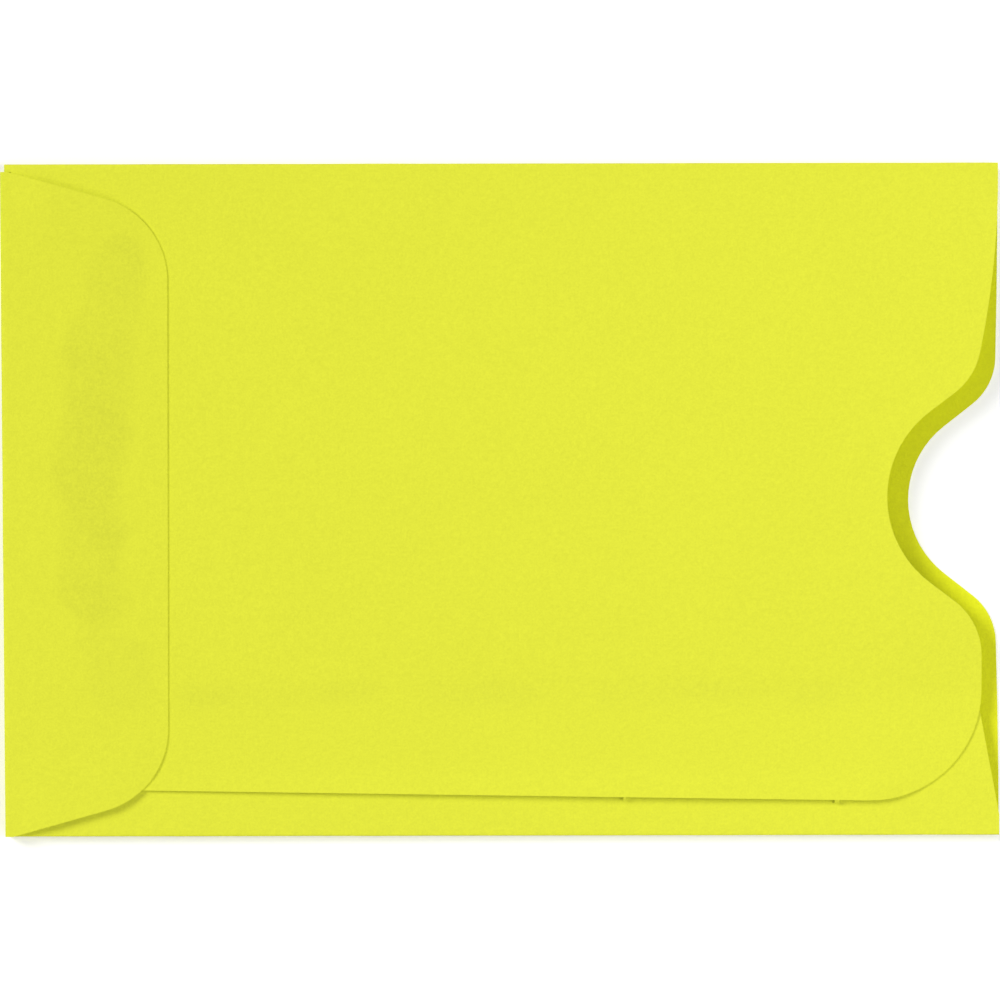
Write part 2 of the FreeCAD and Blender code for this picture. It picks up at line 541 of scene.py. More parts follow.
def gum_and_shade_mark_group():
    """Patchy mark that gum leaves in the paper over it, and painted shade along the seam flap's hidden edge:
    a stroke with round ends and uneven edges.

    The stroke fills its box, and its middle line leans and bows towards +X along Y.
    """
    name = "Gum and shade mark"
    if name in bpy.data.node_groups:
        return bpy.data.node_groups[name]
    tree, given, result = new_group(
        name,
        [
            ("Place", VECTOR),
            ("Middle", VECTOR),
            ("Half Size", VECTOR),
            ("Lean", NUMBER),
            ("Bow", NUMBER),
            ("Fade", NUMBER),
            ("Sway", NUMBER),
            ("Patchiness", NUMBER),
        ],
        [("Mask", NUMBER)],
    )
    place = vector(tree, "SCALE", given["Place"], 1 / MM)
    wander = mottle(tree, place, scale=0.14, detail=4, output="Color")
    sway = vector(tree, "SUBTRACT", wander, (0.5, 0.5, 0.5))
    sway = vector(tree, "SCALE", sway, given["Sway"])
    offset = vector(tree, "SUBTRACT", vector(tree, "ADD", given["Place"], sway), given["Middle"])
    x, y = parted(tree, offset)
    half_x, half_y = parted(tree, given["Half Size"])
    slope = number(tree, "ADD", given["Lean"], number(tree, "MULTIPLY", given["Bow"], y))
    across = number(tree, "SUBTRACT", x, number(tree, "MULTIPLY", slope, y))
    radius = number(tree, "MINIMUM", half_x, half_y)
    past_x = past_core(tree, across, half_x, radius)
    past_y = past_core(tree, y, half_y, radius)
    squares = number(tree, "ADD", number(tree, "POWER", past_x, 2.0), number(tree, "POWER", past_y, 2.0))
    outside = number(tree, "SUBTRACT", number(tree, "SQRT", squares), radius)
    inner = number(tree, "MULTIPLY", given["Fade"], -1.0)
    inside = spread(tree, outside, given["Fade"], inner, kind="SMOOTHSTEP")
    bare = number(tree, "SUBTRACT", 1.0, given["Patchiness"])
    blotch = spread(tree, mottle(tree, place, scale=0.2, detail=3), low=0.38, high=0.6, to_low=bare)
    pores = spread(tree, mottle(tree, place, scale=3.4, detail=2), low=0.36, high=0.62, to_low=0.4)
    mask = number(tree, "MULTIPLY", inside, number(tree, "MULTIPLY", blotch, pores))
    feed(tree, mask, result["Mask"])
    return tree


def new_material(name):
    material = bpy.data.materials.new(name)
    material.use_nodes = True
    return material, material.node_tree


def object_place(tree):
    return tree.nodes.new("ShaderNodeTexCoord").outputs["Object"]


def shaded(tree, colour, tone, relief, roughness, depth):
    """Feeds a toned colour, a roughness and a relief to the material's shader."""
    shader = tree.nodes["Principled BSDF"]
    toned = tree.nodes.new("ShaderNodeHueSaturation")
    feed(tree, colour, toned.inputs["Color"])
    feed(tree, tone, toned.inputs["Value"])
    feed(tree, toned.outputs["Color"], shader.inputs["Base Color"])
    feed(tree, roughness, shader.inputs["Roughness"])
    shader.inputs["Specular IOR Level"].default_value = SPECULAR
    bump = tree.nodes.new("ShaderNodeBump")
    bump.inputs["Distance"].default_value = depth
    bump.inputs["Strength"].default_value = 1.0
    feed(tree, relief, bump.inputs["Height"])
    feed(tree, bump.outputs["Normal"], shader.inputs["Normal"])


def paper_material(name, colour, marks=()):
    """Dyed uncoated paper, darkened by marks of the gum under it and by painted shade. Each mark has its
    group values and its darkening.
    """
    material, tree = new_material(name)
    paper = paper_settings()
    place = object_place(tree)
    fibre = placed_group(tree, paper_fibre_group(), Place=place, Contrast=1.5)
    tone = fibre["Tone"]
    roughness = PAPER_ROUGHNESS
    # Each mask darkens the paper: marks of gum, and painted shade along the seam
    for values, darkening in marks:
        mask = placed_group(tree, gum_and_shade_mark_group(), Place=place, **values)["Mask"]
        darker = spread(tree, mask, to_low=1.0, to_high=1 - darkening)
        tone = number(tree, "MULTIPLY", tone, darker)
        smoother = spread(tree, mask, to_low=PAPER_ROUGHNESS, to_high=MARK_ROUGHNESS)
        roughness = number(tree, "MINIMUM", roughness, smoother)
    shaded(tree, (*colour, 1), tone, fibre["Relief"], roughness, paper.fibre_depth)
    return material


def crease_material(name):
    """Paper whose fibres are broken and paler along the ridge of a crease."""
    material, tree = new_material(name)
    paper = paper_settings()
    place = object_place(tree)
    fibre = placed_group(tree, paper_fibre_group(), Place=place, Contrast=1.6)
    broken = mottle(tree, vector(tree, "SCALE", place, 1 / MM), scale=2.4, detail=4)
    worn = number(tree, "MULTIPLY", spread(tree, broken, low=0.42, high=0.66), attribute(tree, "ridge"))
    tone = number(tree, "ADD", fibre["Tone"], number(tree, "MULTIPLY", worn, RIDGE_PALENESS))
    colour = (*paper.paper_colour, 1)
    shaded(tree, colour, tone, fibre["Relief"], CREASE_ROUGHNESS, paper.fibre_depth)
    return material


def cut_edge_material(name):
    """Loose fibres along a die-cut edge."""
    material, tree = new_material(name)
    paper = paper_settings()
    fibre = placed_group(tree, paper_fibre_group(), Place=object_place(tree), Contrast=2.5)
    colour = (*paper.cut_edge_colour, 1)
    depth = CUT_RELIEF * paper.fibre_depth
    shaded(tree, colour, fibre["Tone"], fibre["Relief"], CUT_ROUGHNESS, depth)
    return material


def gum_material(name):
    """Dried gum: an uneven film with a dull sheen, which thins out to bare paper at its rim."""
    material, tree = new_material(name)
    paper = paper_settings()
    place = object_place(tree)
    fibre = placed_group(tree, paper_fibre_group(), Place=place, Contrast=2.0)
    pooled = mottle(tree, vector(tree, "SCALE", place, 1 / MM), scale=0.6, detail=4)
    uneven = spread(tree, pooled, low=0.3, high=0.6, to_low=0.55)
    covered = number(tree, "MULTIPLY", attribute(tree, "film"), uneven)
    colour = tree.nodes.new("ShaderNodeMix")
    colour.data_type = "RGBA"
    feed(tree, covered, colour.inputs[MIX_SHARE])
    feed(tree, (*paper.paper_colour, 1), colour.inputs[MIX_FIRST])
    feed(tree, (*paper.gum_colour, 1), colour.inputs[MIX_SECOND])
    roughness = spread(tree, covered, to_low=PAPER_ROUGHNESS, to_high=GUM_ROUGHNESS)
    shaded(tree, colour.outputs[MIX_RESULT], fibre["Tone"], pooled, roughness, paper.fibre_depth)
    return material


def finish(make, name, *values):
    """A material by name, made the first time it is asked for."""
    return bpy.data.materials.get(name) or make(name, *values)


def outer_paper():
    return finish(paper_material, "outer_paper", paper_settings().paper_colour)


# Paper with painted shade, for the faces inside the pocket
def pocket_shade_paper():
    return finish(paper_material, "pocket_shade_paper", paper_settings().pocket_shade_colour)


# Sheets


# Part of a face's normal along Z from which it counts as facing up or down
FACING = 0.5

# Material slots of a sheet's lower face and cut edge, after that of its upper face
LOWER_FACE = 1
CUT_FACE = 2

# Distances over which a sheet rises from its creases, and the back panel settles on the seam flap
CREASE_MARGIN = 4 * MM
SEAM_FLAP_MARGIN = 3 * MM

# Distances over which the small waves die out at the rim of each gum
SEAM_GUM_MARGIN = 2 * MM
END_GUM_MARGIN = 1.5 * MM

# Height and length of the finest waves over the gum, as shares of the others
FINE_WAVE_HEIGHT = 0.5
FINE_WAVE_LENGTH = 0.45

# Lift of the back panel's seam edge: low at the closed end, full at its belly, none at the corner
SEAM_START = 0.35
SEAM_START_LENGTH = 36 * MM
SEAM_BELLY = 0.25
SEAM_BELLY_X = 9 * MM
SEAM_BELLY_REACH = 20 * MM
SEAM_CORNER_X = 39 * MM
SEAM_CORNER_LENGTH = 7 * MM
SEAM_WAVER_LEAST = 0.85
SEAM_WAVER = 0.3
SEAM_WAVER_LENGTH = 7 * MM

# Middle and width of each nick in the back panel's seam edge, and its drop as a share of the lift
NICKS = ((11.1 * MM, 0.22 * MM), (30.0 * MM, 0.42 * MM))
NICK_DROP = 0.6

# Lift of the end flap's corners and press of its straight edge, by shares of the way out from its crease
CORNER_RISE = 3.5
CORNER_FALL = 0.8
CORNER_FALL_FROM = 0.62
CORNER_FALL_OVER = 0.33
EDGE_PRESS_FROM = 0.8
EDGE_PRESS_OVER = 0.2


def flat_blank(node):
    """One flat face with the outline that a node has from above."""
    blank = bmesh.new()
    blank.from_mesh(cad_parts[node].data)
    bmesh.ops.remove_doubles(blank, verts=blank.verts, dist=WELD)
    blank.normal_update()
    hidden = [face for face in blank.faces if face.normal.z < FACING]
    bmesh.ops.delete(blank, geom=hidden, context="FACES")
    for vertex in blank.verts:
        vertex.co.z = 0
    bmesh.ops.dissolve_faces(blank, faces=blank.faces[:], use_verts=False)
    return blank


def cut_at(blank, place, normal):
    geometry = blank.verts[:] + blank.edges[:] + blank.faces[:]
    bmesh.ops.bisect_plane(blank, geom=geometry, dist=WELD, plane_co=place, plane_no=normal)


def cut_into_cells(blank, cell):
    """Cuts a flat blank into cells along X and Y, so that it can bend."""
    low = Vector(min(vertex.co[axis] for vertex in blank.verts) for axis in range(3))
    high = Vector(max(vertex.co[axis] for vertex in blank.verts) for axis in range(3))
    for axis, normal in enumerate((X_AXIS, Y_AXIS)):
        count = math.ceil((high[axis] - low[axis]) / cell)
        for step in range(1, count):
            cut_at(blank, low + (high - low) * (step / count), normal)


def on_fold_line(point):
    """Whether a point of an outline lies where the sheet runs on into a crease."""
    lines = (point.x - CLOSED_X, point.y - SEAM_Y, point.y - BACK_Y)
    return any(abs(line) < ON_LINE for line in lines)


def cut_edge_tree(blank, spacing=0.12 * MM):
    """Points along the die-cut edges of a flat blank, for measuring how far a place is from them."""
    points = []
    for edge in blank.edges:
        first, last = (vertex.co for vertex in edge.verts)
        if not edge.is_boundary or (on_fold_line(first) and on_fold_line(last)):
            continue
        count = max(1, math.ceil((last - first).length / spacing))
        points.extend(first.lerp(last, step / count) for step in range(count))
    tree = kdtree.KDTree(len(points))
    for index, point in enumerate(points):
        tree.insert(point, index)
    tree.balance()
    return tree


def bend(blank, height):
    """Raises each point of a flat blank by height(x, y, distance from the cut edge)."""
    tree = cut_edge_tree(blank)
    heights = [height(vertex.co.x, vertex.co.y, tree.find(vertex.co)[2]) for vertex in blank.verts]
    for vertex, top in zip(blank.verts, heights):
        vertex.co.z += top


def thicken(sheet, facing, thickness):
    """Turns a sheet to face one way and gives it its thickness behind that face."""
    bmesh.ops.recalc_face_normals(sheet, faces=sheet.faces)
    sheet.normal_update()
    if sum(face.normal.dot(facing) * face.calc_area() for face in sheet.faces) < 0:
        bmesh.ops.reverse_faces(sheet, faces=sheet.faces)
    bmesh.ops.solidify(sheet, geom=sheet.faces[:], thickness=thickness)
    sheet.normal_update()
    for face in sheet.faces:
        face.smooth = True


def linked_object(name, data):
    """An object in the scene that holds a mesh, a light or a camera."""
    piece = bpy.data.objects.new(name, data)
    bpy.context.scene.collection.objects.link(piece)
    return piece


def mesh_object(name, shape, materials, sharp_angle=math.radians(35)):
    mesh = bpy.data.meshes.new(name)
    shape.to_mesh(mesh)
    shape.free()
    mesh.set_sharp_from_angle(angle=sharp_angle)
    for material in materials:
        mesh.materials.append(material)
    return linked_object(name, mesh)


def finish_piece(piece, body, node):
    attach(piece, body)
    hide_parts(node)


def sheet_object(name, blank, cell, height, upper, lower):
    """A die-cut sheet from its flat blank: cut into cells, bent and given its thickness downwards."""
    cut_into_cells(blank, cell)
    bend(blank, height)
    thicken(blank, UP, PAPER)
    for face in blank.faces:
        if face.normal.z < -FACING:
            face.material_index = LOWER_FACE
        elif face.normal.z < FACING:
            face.material_index = CUT_FACE
    return mesh_object(name, blank, [upper, lower, finish(cut_edge_material, "cut_edge")])


def by_creases(x, y):
    """0 on the fold lines and 1 away from them, so that sheets meet their creases."""
    lines = (x - CLOSED_X, BACK_Y - y, y - SEAM_Y)
    return math.prod(ease(line / CREASE_MARGIN) for line in lines)


def over_seam_flap(y):
    """0 past the hidden edge of the seam flap and 1 well over the flap."""
    return ease((SEAM_HIGH.y - y) / SEAM_FLAP_MARGIN)


def edge_curl(distance):
    paper = paper_settings()
    return paper.edge_curl * (1 - ease(distance / paper.edge_curl_width))


def cockle(x, y, seed):
    paper = paper_settings()
    return paper.cockle_height * ripple(x, y, paper.cockle_length, seed) * by_creases(x, y)


def bow(x, y):
    """Height of the back panel's bow, which grows from the end flap to the mouth."""
    along = min(max((x - END_HIGH.x) / (MOUTH_X - END_HIGH.x), 0.0), 1.0)
    middle = (SEAM_HIGH.y + BACK_Y) / 2
    across = (y - middle) / (BACK_Y - middle)
    return paper_settings().mouth_bow * along * max(0.0, 1 - across * across)


def gum_swell(x, y, low, high, margin):
    """Small waves of the paper over a patch of gum."""
    paper = paper_settings()
    inside = min(x - low.x, high.x - x, y - low.y, high.y - y)
    waves = ripple(x, y, paper.gum_cockle_length, WAVE_SEED)
    waves += FINE_WAVE_HEIGHT * ripple(x, y, FINE_WAVE_LENGTH * paper.gum_cockle_length, FINE_WAVE_SEED)
    return paper.gum_cockle_height * waves * ease((inside + margin) / (2 * margin))


def seam_lift(x, y):
    """Height of the back panel's free edge beside the seam gum, down again round the mouth corner."""
    paper = paper_settings()
    free = (SEAM_GUM_LOW.y - y) / (SEAM_GUM_LOW.y - BACK_LOW.y)
    start = SEAM_START + (1 - SEAM_START) * ease((x - CLOSED_X) / SEAM_START_LENGTH)
    belly = 1 + SEAM_BELLY * max(0.0, 1 - ((x - SEAM_BELLY_X) / SEAM_BELLY_REACH) ** 2)
    before_corner = ease((SEAM_CORNER_X - x) / SEAM_CORNER_LENGTH)
    waver = SEAM_WAVER_LEAST + SEAM_WAVER * ripple(x, 0.0, SEAM_WAVER_LENGTH, SEAM_SEED)
    lift = paper.seam_edge_lift * ease(free) * start * belly * before_corner * waver
    return lift - paper.seam_corner_press * (1 - before_corner) * over_seam_flap(y)


def front_height(x, y, edge_distance):
    return PAPER + cockle(x, y, FRONT_SEED)


def back_height(x, y, edge_distance):
    """Height of the back panel: bowed at the mouth, loose over the pocket and held by the seam gum."""
    swell = gum_swell(x, y, SEAM_GUM_LOW, SEAM_GUM_HIGH, SEAM_GUM_MARGIN)
    loose = cockle(x, y, BACK_SEED) + edge_curl(edge_distance) * by_creases(x, y)
    return BACK_TOP + bow(x, y) + loose * (1 - over_seam_flap(y)) + swell + seam_lift(x, y)


def add_nicks(blank):
    """Adds the small torn tabs that held the blank in its sheet, on the back panel's seam edge."""
    paper = paper_settings()
    outward = Vector((0, -paper.nick_length, -NICK_DROP * paper.seam_edge_lift))
    for middle, width in NICKS:
        for side in (-width / 2, width / 2):
            cut_at(blank, X_AXIS * (middle + side), X_AXIS)
        tab = [
            edge for edge in blank.edges
            if edge.is_boundary
            and all(abs(vertex.co.x - middle) < width / 2 + ON_LINE for vertex in edge.verts)
            and all(vertex.co.y < SEAM_GUM_LOW.y for vertex in edge.verts)
        ]
        grown = bmesh.ops.extrude_edge_only(blank, edges=tab)["geom"]
        ends = [part for part in grown if isinstance(part, bmesh.types.BMVert)]
        bmesh.ops.translate(blank, verts=ends, vec=outward)


def seam_height(x, y, edge_distance):
    return SEAM_HIGH.z


def end_height(x, y, edge_distance):
    """Height of the end flap, whose corners spring up beside the gum that holds its middle."""
    paper = paper_settings()
    past_seam_side = (END_GUM_LOW.y - y) / (END_GUM_LOW.y - END_LOW.y)
    past_back_side = (y - END_GUM_HIGH.y) / (END_HIGH.y - END_GUM_HIGH.y)
    lift = paper.seam_corner_lift * ease(past_seam_side) + paper.back_corner_lift * ease(past_back_side)
    out = (x - CLOSED_X) / (END_HIGH.x - CLOSED_X)
    fall = CORNER_FALL * ease((out - CORNER_FALL_FROM) / CORNER_FALL_OVER)
    free = ease(CORNER_RISE * out) * (1 - fall)
    pressed = paper.gum_edge_press * ease((out - EDGE_PRESS_FROM) / EDGE_PRESS_OVER)
    swell = gum_swell(x, y, END_GUM_LOW, END_GUM_HIGH, END_GUM_MARGIN)
    return END_HIGH.z + lift * free + swell - pressed


# Creases


# Profile of a pressed crease, with heights from -1 at its foot to 1 at its top, and the fade of its wear
RIDGE_CLIMB = 0.5
LEVEL_CLIMB = 0.9999
TOP_FLATNESS = 6.0
UNDER_SLOPE = 1.25
UNDER_ROUNDNESS = 0.65
RIDGE_FADE = 1.6

# Depth and length of a crease's waver, the length of its segments and the angle of its sharp edges
CREASE_WAVER = 0.03 * MM
CREASE_WAVER_LENGTH = 6 * MM
CREASE_SEGMENT = 1.2 * MM
CREASE_SHARP_ANGLE = math.radians(60)

# How far the back crease runs on past the fold line of the closed end
BACK_CREASE_OVERRUN = 0.4 * MM


def crease_shell(start, end, outward, radius):
    """Half-round shell: the fold line from start to end, swung half a turn about the middle of the fold."""
    steps = paper_settings().crease_steps
    segments = math.ceil((end - start).length / CREASE_SEGMENT)
    shell = bmesh.new()
    line = shell.edges.new([shell.verts.new(start), shell.verts.new(end)])
    bmesh.ops.subdivide_edges(shell, edges=[line], cuts=segments - 1)
    middle = start + UP * radius
    axis = outward.cross(UP)
    geometry = shell.verts[:] + shell.edges[:]
    bmesh.ops.spin(shell, geom=geometry, cent=middle, axis=axis, angle=math.pi, steps=steps)
    bmesh.ops.remove_doubles(shell, verts=shell.verts, dist=WELD)
    return shell


def pressed_reach(climb):
    """How far out a pressed crease stands, from 0 to 1, at a height from -1 at its foot to 1 at its top.

    The top stays flat almost to the edge, the ridge is above the middle, and the paper turns in under it.
    """
    if climb > LEVEL_CLIMB:
        return 0.0
    if climb > RIDGE_CLIMB:
        above = (climb - RIDGE_CLIMB) / (1 - RIDGE_CLIMB)
        return (1 - above ** TOP_FLATNESS) ** (1 / TOP_FLATNESS)
    below = (RIDGE_CLIMB - climb) / (1 + RIDGE_CLIMB)
    return max(0.0, 1 - below ** UNDER_SLOPE) ** UNDER_ROUNDNESS


def press(shell, start, end, outward, radius, skew):
    """Pinches a half-round shell to a pressed crease, which wavers and draws in by skew along its length."""
    ridge = shell.verts.layers.float.new("ridge")
    along = (end - start).normalized()
    length = (end - start).length
    for vertex in shell.verts:
        place = (vertex.co - start).dot(along)
        climb = (vertex.co.z - radius) / radius
        reach = pressed_reach(climb)
        waver = CREASE_WAVER * ripple(place, 0.0, CREASE_WAVER_LENGTH, CREASE_SEED)
        out = (radius - waver - skew * place / length) * reach
        vertex.co = start + along * place + UP * vertex.co.z + outward * out
        vertex[ridge] = ease(1 - RIDGE_FADE * (1 - reach))


def crease_object(name, start, end, outward, radius, skew=0.0):
    """One pressed crease with its thickness inside it."""
    shell = crease_shell(start, end, outward, radius)
    press(shell, start, end, outward, radius, skew)
    thicken(shell, outward, PAPER)
    return mesh_object(name, shell, [finish(crease_material, "creased_paper")], CREASE_SHARP_ANGLE)


# Gum, and painted shade along the seam flap's hidden edge


# Bowed stroke of the end gum: inset and shift of its nearest place, its width and its bow per metre
STROKE_INSET = 2.5 * MM
STROKE_SHIFT = 0.8 * MM
STROKE_WIDTH = 6.4 * MM
STROKE_BOW = 7.2
STROKE_PLACE = Vector((
    END_GUM_LOW.x + STROKE_INSET,
    (END_GUM_LOW.y + END_GUM_HIGH.y) / 2 + STROKE_SHIFT,
    0,
))

# Mark of the stroke in the paper over it, and of the fainter dab at its seam end
STROKE_SWAY = 6 * MM
STROKE_PATCHINESS = 0.45
STROKE_OVERRUN = 3.0 * MM
STROKE_FADE = 0.9 * MM
STROKE_DARKENING = 0.092
DAB_LENGTH = 7.5 * MM
DAB_FADE = 1.2 * MM
DAB_DARKENING = 0.05

# How strongly the end gum marks the back panel under it, as a share of its mark in the end flap
PANEL_STRENGTH = 0.7

# Painted shade where the back panel steps down over the seam flap's hidden edge, whose strong part changes
# to a faint one along X
SEAM_SHADE_HALF_WIDTH = 1.1 * MM
SEAM_SHADE_FADE = 0.9 * MM
SEAM_SHADE_SWAY = 3 * MM
SEAM_SHADE_START = END_HIGH.x + 1 * MM
SEAM_SHADE_CHANGE = -14 * MM
SEAM_SHADE_END = SEAM_GUM_HIGH.x + 4 * MM

# Cells of a gum film, and the depth and length of the waves in its rim
GUM_CELL = 0.6 * MM
GUM_RIM_DEPTH = 0.5 * MM
GUM_RIM_LENGTH = 1.6 * MM

# Thickness of a gum film as a share of the gum, and the widths over which its rim sinks and fades
FILM_SHARE = 0.6
FILM_TAPER = 0.8 * MM
FILM_FADE = 0.7 * MM


def gum_and_shade_mark(low, high, fade, darkening, sway, patchiness, lean=0.0, bow=0.0):
    """Values of a mark within a box, for gum and for painted shade, and how far it darkens the paper."""
    values = {
        "Middle": (low + high) / 2,
        "Half Size": (high - low) / 2,
        "Lean": lean,
        "Bow": bow,
        "Fade": fade,
        "Sway": sway,
        "Patchiness": patchiness,
    }
    return values, darkening


def stroke_middle(y):
    """Place along X of the middle of the bowed stroke of end gum."""
    return STROKE_PLACE.x + STROKE_BOW * (y - STROKE_PLACE.y) ** 2


def stroke_mark(low_y, high_y, fade, darkening):
    """Mark of one length of the bowed stroke of end gum."""
    middle_y = (low_y + high_y) / 2
    low = Vector((stroke_middle(middle_y) - STROKE_WIDTH / 2, low_y, 0))
    high = Vector((stroke_middle(middle_y) + STROKE_WIDTH / 2, high_y, 0))
    lean = 2 * STROKE_BOW * (middle_y - STROKE_PLACE.y)
    return gum_and_shade_mark(low, high, fade, darkening, STROKE_SWAY, STROKE_PATCHINESS, lean, STROKE_BOW)


def seam_shade_mark(low_x, high_x, darkening, patchiness):
    """Painted shade along the hidden edge of the seam flap, where the back panel steps down off it."""
    low = Vector((low_x, SEAM_HIGH.y - SEAM_SHADE_HALF_WIDTH, 0))
    high = Vector((high_x, SEAM_HIGH.y + SEAM_SHADE_HALF_WIDTH, 0))
    return gum_and_shade_mark(low, high, SEAM_SHADE_FADE, darkening, SEAM_SHADE_SWAY, patchiness)


def end_gum_marks(strength=1.0):
    """Marks of the end gum: a long stroke by the back fold and a fainter dab by the seam."""
    dab_top = END_GUM_LOW.y + DAB_LENGTH
    stroke_top = END_GUM_HIGH.y + STROKE_OVERRUN
    stroke = stroke_mark(dab_top, stroke_top, STROKE_FADE, STROKE_DARKENING * strength)
    dab = stroke_mark(END_GUM_LOW.y, dab_top, DAB_FADE, DAB_DARKENING * strength)
    return [stroke, dab]


def back_panel_marks():
    """Painted shade along the seam flap's hidden edge, strongest by the end flap, and marks of the end gum
    under the end flap.
    """
    return [
        # Painted shade where the back panel steps down off the seam flap
        seam_shade_mark(SEAM_SHADE_START, SEAM_SHADE_CHANGE, darkening=0.055, patchiness=0.7),
        seam_shade_mark(SEAM_SHADE_CHANGE, SEAM_SHADE_END, darkening=0.035, patchiness=1.0),
        *end_gum_marks(PANEL_STRENGTH),
    ]


def gum_blank(node):
    """The outline of a gum film, uneven where the gum was squeezed out."""
    blank = flat_blank(node)
    cut_into_cells(blank, GUM_CELL)
    middle = sum((vertex.co for vertex in blank.verts), Vector()) / len(blank.verts)
    for vertex in blank.verts:
        if vertex.is_boundary:
            inward = (middle - vertex.co).normalized()
            depth = GUM_RIM_DEPTH * ripple(vertex.co.x, vertex.co.y, GUM_RIM_LENGTH, RIM_SEED)
            vertex.co += inward * depth
    return blank


def bowed_gum_blank():
    """The outline of the end gum, drawn along its bowed stroke."""
    blank = gum_blank("end_gum")
    middle_x = (END_GUM_LOW.x + END_GUM_HIGH.x) / 2
    narrowing = (STROKE_PLACE.x - END_GUM_LOW.x) / (middle_x - END_GUM_LOW.x)
    for vertex in blank.verts:
        vertex.co.x = stroke_middle(vertex.co.y) + narrowing * (vertex.co.x - middle_x)
    return blank


def gum_film(name, node, body, blank):
    """A thin film of gum from its flat outline, which sinks into the paper above it towards its rim."""
    low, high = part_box(node)
    thickness = FILM_SHARE * (high.z - low.z)

    def height(x, y, edge_distance):
        return high.z + thickness * (1 - ease(edge_distance / FILM_TAPER))

    rim = cut_edge_tree(blank)
    bend(blank, height)
    thicken(blank, UP, thickness)
    film = blank.verts.layers.float.new("film")
    for vertex in blank.verts:
        flat = Vector((vertex.co.x, vertex.co.y, 0))
        vertex[film] = ease(rim.find(flat)[2] / FILM_FADE)
    piece = mesh_object(name, blank, [finish(gum_material, "dried_gum")])
    finish_piece(piece, body, node)


# Steps that build the sleeve


class SLEEVE_OT_panels(Operator):
    """Builds the front panel on the table and the bowed back panel over it"""

    bl_idname = "sleeve.panels"
    bl_label = "Panels"

    def execute(self, context):
        paper = paper_settings()
        front_blank = flat_blank("front_panel")
        front = sheet_object(
            "front_panel_paper", front_blank, paper.cell, front_height, pocket_shade_paper(), outer_paper()
        )
        finish_piece(front, "pocket", "front_panel")
        back_paper = paper_material("back_panel_paper", paper.paper_colour, back_panel_marks())
        back_blank = flat_blank("back_panel")
        add_nicks(back_blank)
        back = sheet_object(
            "back_panel_paper", back_blank, paper.cell, back_height, back_paper, pocket_shade_paper()
        )
        finish_piece(back, "pocket", "back_panel")
        return {"FINISHED"}


class SLEEVE_OT_flaps(Operator):
    """Builds the seam flap under the back panel and the end flap over the closed end"""

    bl_idname = "sleeve.flaps"
    bl_label = "Flaps"

    def execute(self, context):
        paper = paper_settings()
        seam_blank = flat_blank("seam_flap")
        seam = sheet_object(
            "seam_flap_paper", seam_blank, paper.flap_cell, seam_height, outer_paper(), pocket_shade_paper()
        )
        finish_piece(seam, "pocket", "seam_flap")
        end_paper = paper_material("end_flap_paper", paper.paper_colour, end_gum_marks())
        end_blank = flat_blank("end_flap")
        for vertex in end_blank.verts:
            vertex.co.y = min(vertex.co.y, BACK_Y - paper.flap_clearance)
        end = sheet_object(
            "end_flap_paper", end_blank, paper.flap_cell, end_height, end_paper, outer_paper()
        )
        finish_piece(end, "flap", "end_flap")
        return {"FINISHED"}


class SLEEVE_OT_creases(Operator):
    """Builds the pressed creases at the back, the seam and the closed end"""

    bl_idname = "sleeve.creases"
    bl_label = "Creases"

    def execute(self, context):
        back = crease_object(
            "back_crease_paper",
            Vector((CLOSED_X - BACK_CREASE_OVERRUN, BACK_Y, 0)),
            Vector((BACK_FOLD_HIGH.x, BACK_Y, 0)),
            Y_AXIS,
            BACK_FOLD_HIGH.z / 2,
        )
        finish_piece(back, "pocket", "back_fold")
        seam = crease_object(
            "seam_crease_paper",
            Vector((SEAM_FOLD_LOW.x, SEAM_Y, 0)),
            Vector((SEAM_FOLD_HIGH.x, SEAM_Y, 0)),
            -Y_AXIS,
            SEAM_FOLD_HIGH.z / 2,
        )
        finish_piece(seam, "pocket", "seam_fold")
        end = crease_object(
            "end_crease_paper",
            Vector((CLOSED_X, END_FOLD_HIGH.y, 0)),
            Vector((CLOSED_X, END_LOW.y, 0)),
            -X_AXIS,
            END_FOLD_HIGH.z / 2,
            paper_settings().crease_skew,
        )
        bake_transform(end)
        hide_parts("end_fold")
        return {"FINISHED"}


class SLEEVE_OT_gum(Operator):
    """Builds the films of gum that hold the seam and the end flap"""

    bl_idname = "sleeve.gum"
    bl_label = "Gum"

    def execute(self, context):
        gum_film("seam_gum_film", "seam_gum", "pocket", gum_blank("seam_gum"))
        gum_film("end_gum_film", "end_gum", "flap", bowed_gum_blank())
        return {"FINISHED"}


# Stage


WHITE = (1, 1, 1, 1)

# Floor: how far it reaches, how far it lies under the sleeve, its grey for bounced light and its glow
FLOOR_REACH = 3.0
FLOOR_DROP = 0.02 * MM
FLOOR_GREY = (0.8, 0.8, 0.8, 1)
FLOOR_GLOW = 0.2

# Nearest distance that the camera sees
CLIP_START = 0.01


def seen_directly(tree):
    """1 for camera, glossy and transmitted rays, which see the background, and 0 for light that bounces."""
    path = tree.nodes.new("ShaderNodeLightPath").outputs
    seen = number(tree, "MAXIMUM", path["Is Camera Ray"], path["Is Glossy Ray"])
    return number(tree, "MAXIMUM", seen, path["Is Transmission Ray"])


def mix_by_ray(tree, bounced, seen, output):
    """Gives bounced light one shader and the rays that see the surface another."""
    mix = tree.nodes.new("ShaderNodeMixShader")
    feed(tree, seen_directly(tree), mix.inputs["Fac"])
    feed(tree, bounced, mix.inputs[1])
    feed(tree, seen, mix.inputs[2])
    feed(tree, mix.outputs[0], output.inputs["Surface"])


